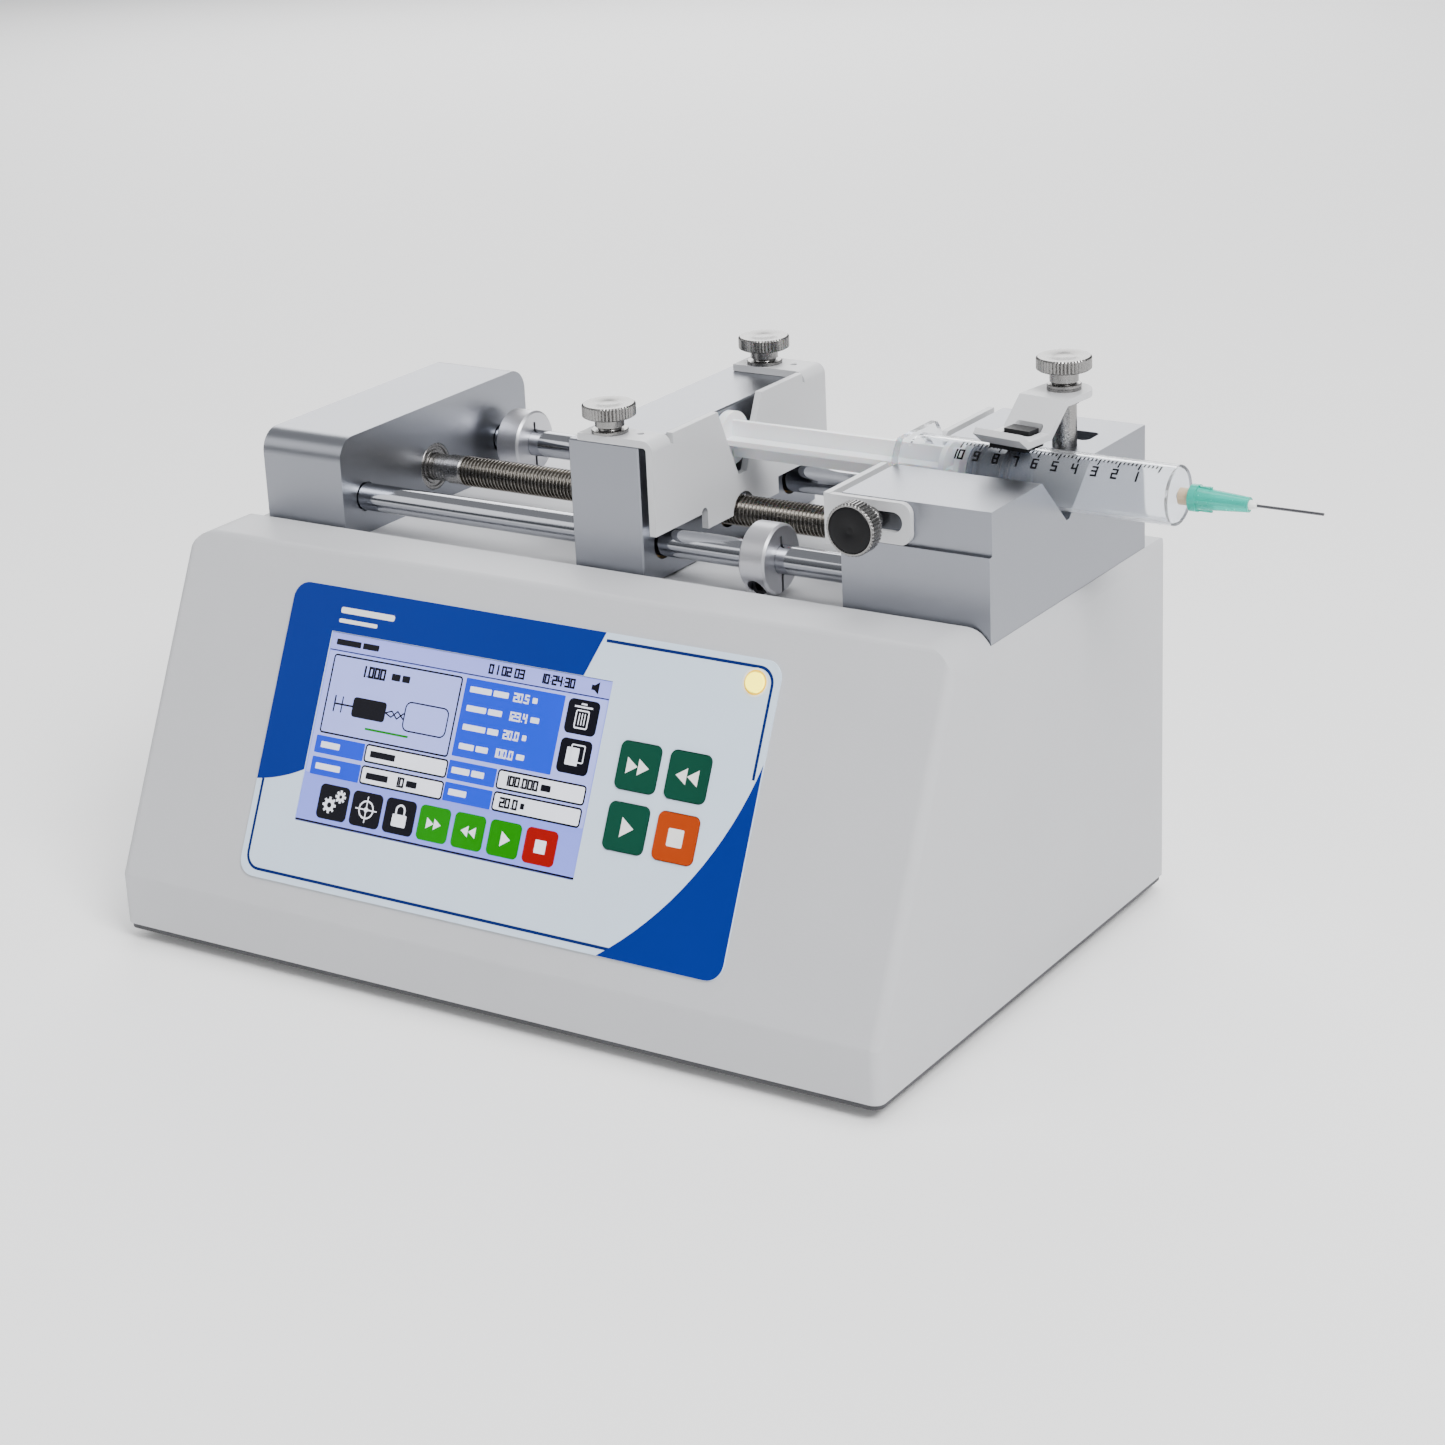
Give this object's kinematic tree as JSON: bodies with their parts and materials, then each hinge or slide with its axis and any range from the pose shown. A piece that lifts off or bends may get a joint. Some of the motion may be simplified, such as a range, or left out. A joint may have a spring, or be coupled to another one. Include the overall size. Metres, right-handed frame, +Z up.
{
  "type": "syringe pump",
  "caption": "Bench syringe pump with sloped control face, screw-driven carriage on two rods, syringe cradle with swinging clamp and a loaded syringe with needle.",
  "frame": {"origin": "middle of the overall box in plan, on the plane the feet stand on", "axes": "+X along the syringe towards the needle, +Y to the back, +Z up"},
  "size_m": [0.3224, 0.1694, 0.1669],
  "materials": {
    "powder_coat": "fine textured powder coat",
    "painted_sheet": "satin paint on folded sheet",
    "dark_plate": "matt black",
    "sheet_steel": "zinc-plated sheet",
    "steel": "turned stainless steel",
    "black_steel": "black oxide",
    "chrome_rod": "ground and chromed",
    "anodised": "bead-blasted, clear anodised",
    "bronze": "sintered bronze",
    "rubber": "moulded",
    "stopper_rubber": "smooth moulded",
    "overlay": "printed film",
    "display": "lit display",
    "circuit_board": "solder mask",
    "green_key": "moulded",
    "orange_key": "moulded",
    "amber_led": "domed lens",
    "black_plastic": "moulded",
    "white_plastic": "moulded polypropylene",
    "teal_plastic": "tinted clear moulding",
    "clear_plastic": "clear moulding"
  },
  "bodies": {
    "casing": {"casing_shell": "powder_coat", "base_plate": "dark_plate", "rubber_feet": "rubber", "base_screws": "steel", "panel_overlay": "overlay", "display_glass": "display", "display_module": "dark_plate", "key_board": "circuit_board", "panel_nuts": "steel", "status_led": "amber_led", "main_board": "circuit_board", "board_standoffs": "steel", "power_supply": "sheet_steel", "power_inlet": "black_plastic", "switch_housing": "black_plastic", "serial_port": "sheet_steel", "drive_block": "anodised", "cradle_block": "anodised", "block_screws": "steel", "guide_rod_front": "chrome_rod", "guide_rod_rear": "chrome_rod", "screw_bearings": "steel", "timing_belt": "rubber", "motor_bracket": "sheet_steel", "stepper_motor": "dark_plate", "motor_screws": "steel", "syringe_barrel": "clear_plastic", "needle_hub": "teal_plastic", "needle_tube": "steel", "clamp_spring": "steel"},
    "screw": {"lead_screw": "steel", "screw_pulley": "anodised"},
    "rotor": {"motor_shaft": "steel", "motor_pulley": "anodised"},
    "carriage": {"carriage_block": "anodised", "rod_bushes": "bronze", "lead_nut": "bronze", "syringe_plunger": "white_plastic", "plunger_stopper": "stopper_rubber"},
    "retainer": {"retainer_plate": "painted_sheet"},
    "retainer_knob_front": {"retainer_knob_front": "steel"},
    "retainer_knob_rear": {"retainer_knob_rear": "steel"},
    "collar_front": {"stop_collar_front": "anodised", "collar_screw_front": "black_steel"},
    "collar_rear": {"stop_collar_rear": "anodised", "collar_screw_rear": "black_steel"},
    "bracket": {"flange_bracket": "painted_sheet"},
    "bracket_knob": {"bracket_knob": "steel", "bracket_knob_cap": "black_plastic"},
    "clamp_post": {"clamp_post": "steel", "clamp_clip": "black_steel"},
    "clamp_arm": {"clamp_arm": "painted_sheet", "clamp_pad": "black_plastic", "clamp_washer": "steel"},
    "clamp_knob": {"clamp_knob": "steel"},
    "key_forward": {"key_forward": "green_key"},
    "key_reverse": {"key_reverse": "green_key"},
    "key_run": {"key_run": "green_key"},
    "key_stop": {"key_stop": "orange_key"},
    "rocker": {"switch_rocker": "black_plastic"}
  },
  "joints": [
    {"name": "screw_spin", "type": "hinge", "parent": "casing", "child": "screw", "pos_m": [-0.1201, 0.0239, 0.1181], "axis": [1, 0, 0], "range_deg": [-6193, 4321]},
    {"name": "carriage_slide", "type": "slide", "parent": "casing", "child": "carriage", "axis": [1, 0, 0], "range_m": [-0.015, 0.0215]},
    {"name": "rotor_spin", "type": "hinge", "parent": "casing", "child": "rotor", "pos_m": [-0.1201, 0.0239, 0.0771], "axis": [1, 0, 0], "range_deg": [-6193, 4321]},
    {"name": "retainer_slide", "type": "slide", "parent": "carriage", "child": "retainer", "axis": [1, 0, 0], "range_m": [0, 0.0025]},
    {"name": "retainer_knob_front_turn", "type": "hinge", "parent": "carriage", "child": "retainer_knob_front", "pos_m": [-0.0281, -0.0159, 0.1571], "axis": [0, 0, 1], "range_deg": [0, 360]},
    {"name": "retainer_knob_rear_turn", "type": "hinge", "parent": "carriage", "child": "retainer_knob_rear", "pos_m": [-0.0281, 0.0637, 0.1571], "axis": [0, 0, 1], "range_deg": [0, 360]},
    {"name": "collar_front_slide", "type": "slide", "parent": "casing", "child": "collar_front", "axis": [1, 0, 0], "range_m": [0, 0.0235]},
    {"name": "collar_rear_slide", "type": "slide", "parent": "casing", "child": "collar_rear", "axis": [1, 0, 0], "range_m": [-0.0044, 0.052]},
    {"name": "bracket_slide", "type": "slide", "parent": "casing", "child": "bracket", "axis": [1, 0, 0], "range_m": [-0.007, 0]},
    {"name": "bracket_knob_turn", "type": "hinge", "parent": "casing", "child": "bracket_knob", "pos_m": [0.0553, -0.0199, 0.1367], "axis": [0, -1, 0], "range_deg": [0, 360]},
    {"name": "clamp_lift", "type": "slide", "parent": "casing", "child": "clamp_post", "axis": [0, 0, 1], "range_m": [0, 0.016], "stiffness_N_per_m": 300, "springref_m": -0.005, "deforming": ["clamp_spring"]},
    {"name": "clamp_arm_swing", "type": "hinge", "parent": "clamp_post", "child": "clamp_arm", "pos_m": [0.0783, 0.0443, 0.1569], "axis": [0, 0, 1], "range_deg": [-90, 90]},
    {"name": "clamp_knob_turn", "type": "hinge", "parent": "clamp_post", "child": "clamp_knob", "pos_m": [0.0783, 0.0443, 0.1621], "axis": [0, 0, 1], "range_deg": [0, 360]},
    {"name": "key_forward_press", "type": "slide", "parent": "casing", "child": "key_forward", "axis": [0, 0.8981, -0.4398], "range_m": [0, 0.0004], "stiffness_N_per_m": 400, "springref_m": -0.0005},
    {"name": "key_reverse_press", "type": "slide", "parent": "casing", "child": "key_reverse", "axis": [0, 0.8981, -0.4398], "range_m": [0, 0.0004], "stiffness_N_per_m": 400, "springref_m": -0.0005},
    {"name": "key_run_press", "type": "slide", "parent": "casing", "child": "key_run", "axis": [0, 0.8981, -0.4398], "range_m": [0, 0.0004], "stiffness_N_per_m": 400, "springref_m": -0.0005},
    {"name": "key_stop_press", "type": "slide", "parent": "casing", "child": "key_stop", "axis": [0, 0.8981, -0.4398], "range_m": [0, 0.0004], "stiffness_N_per_m": 400, "springref_m": -0.0005},
    {"name": "rocker_tilt", "type": "hinge", "parent": "casing", "child": "rocker", "pos_m": [0.0068, 0.0792, 0.0375], "axis": [0, 0, 1], "range_deg": [0, 18]}
  ],
  "couplings": [
    {"joint": "screw_spin", "follows": "carriage_slide", "rad_per_m": -5026.5},
    {"joint": "rotor_spin", "follows": "carriage_slide", "rad_per_m": -5026.5}
  ]
}
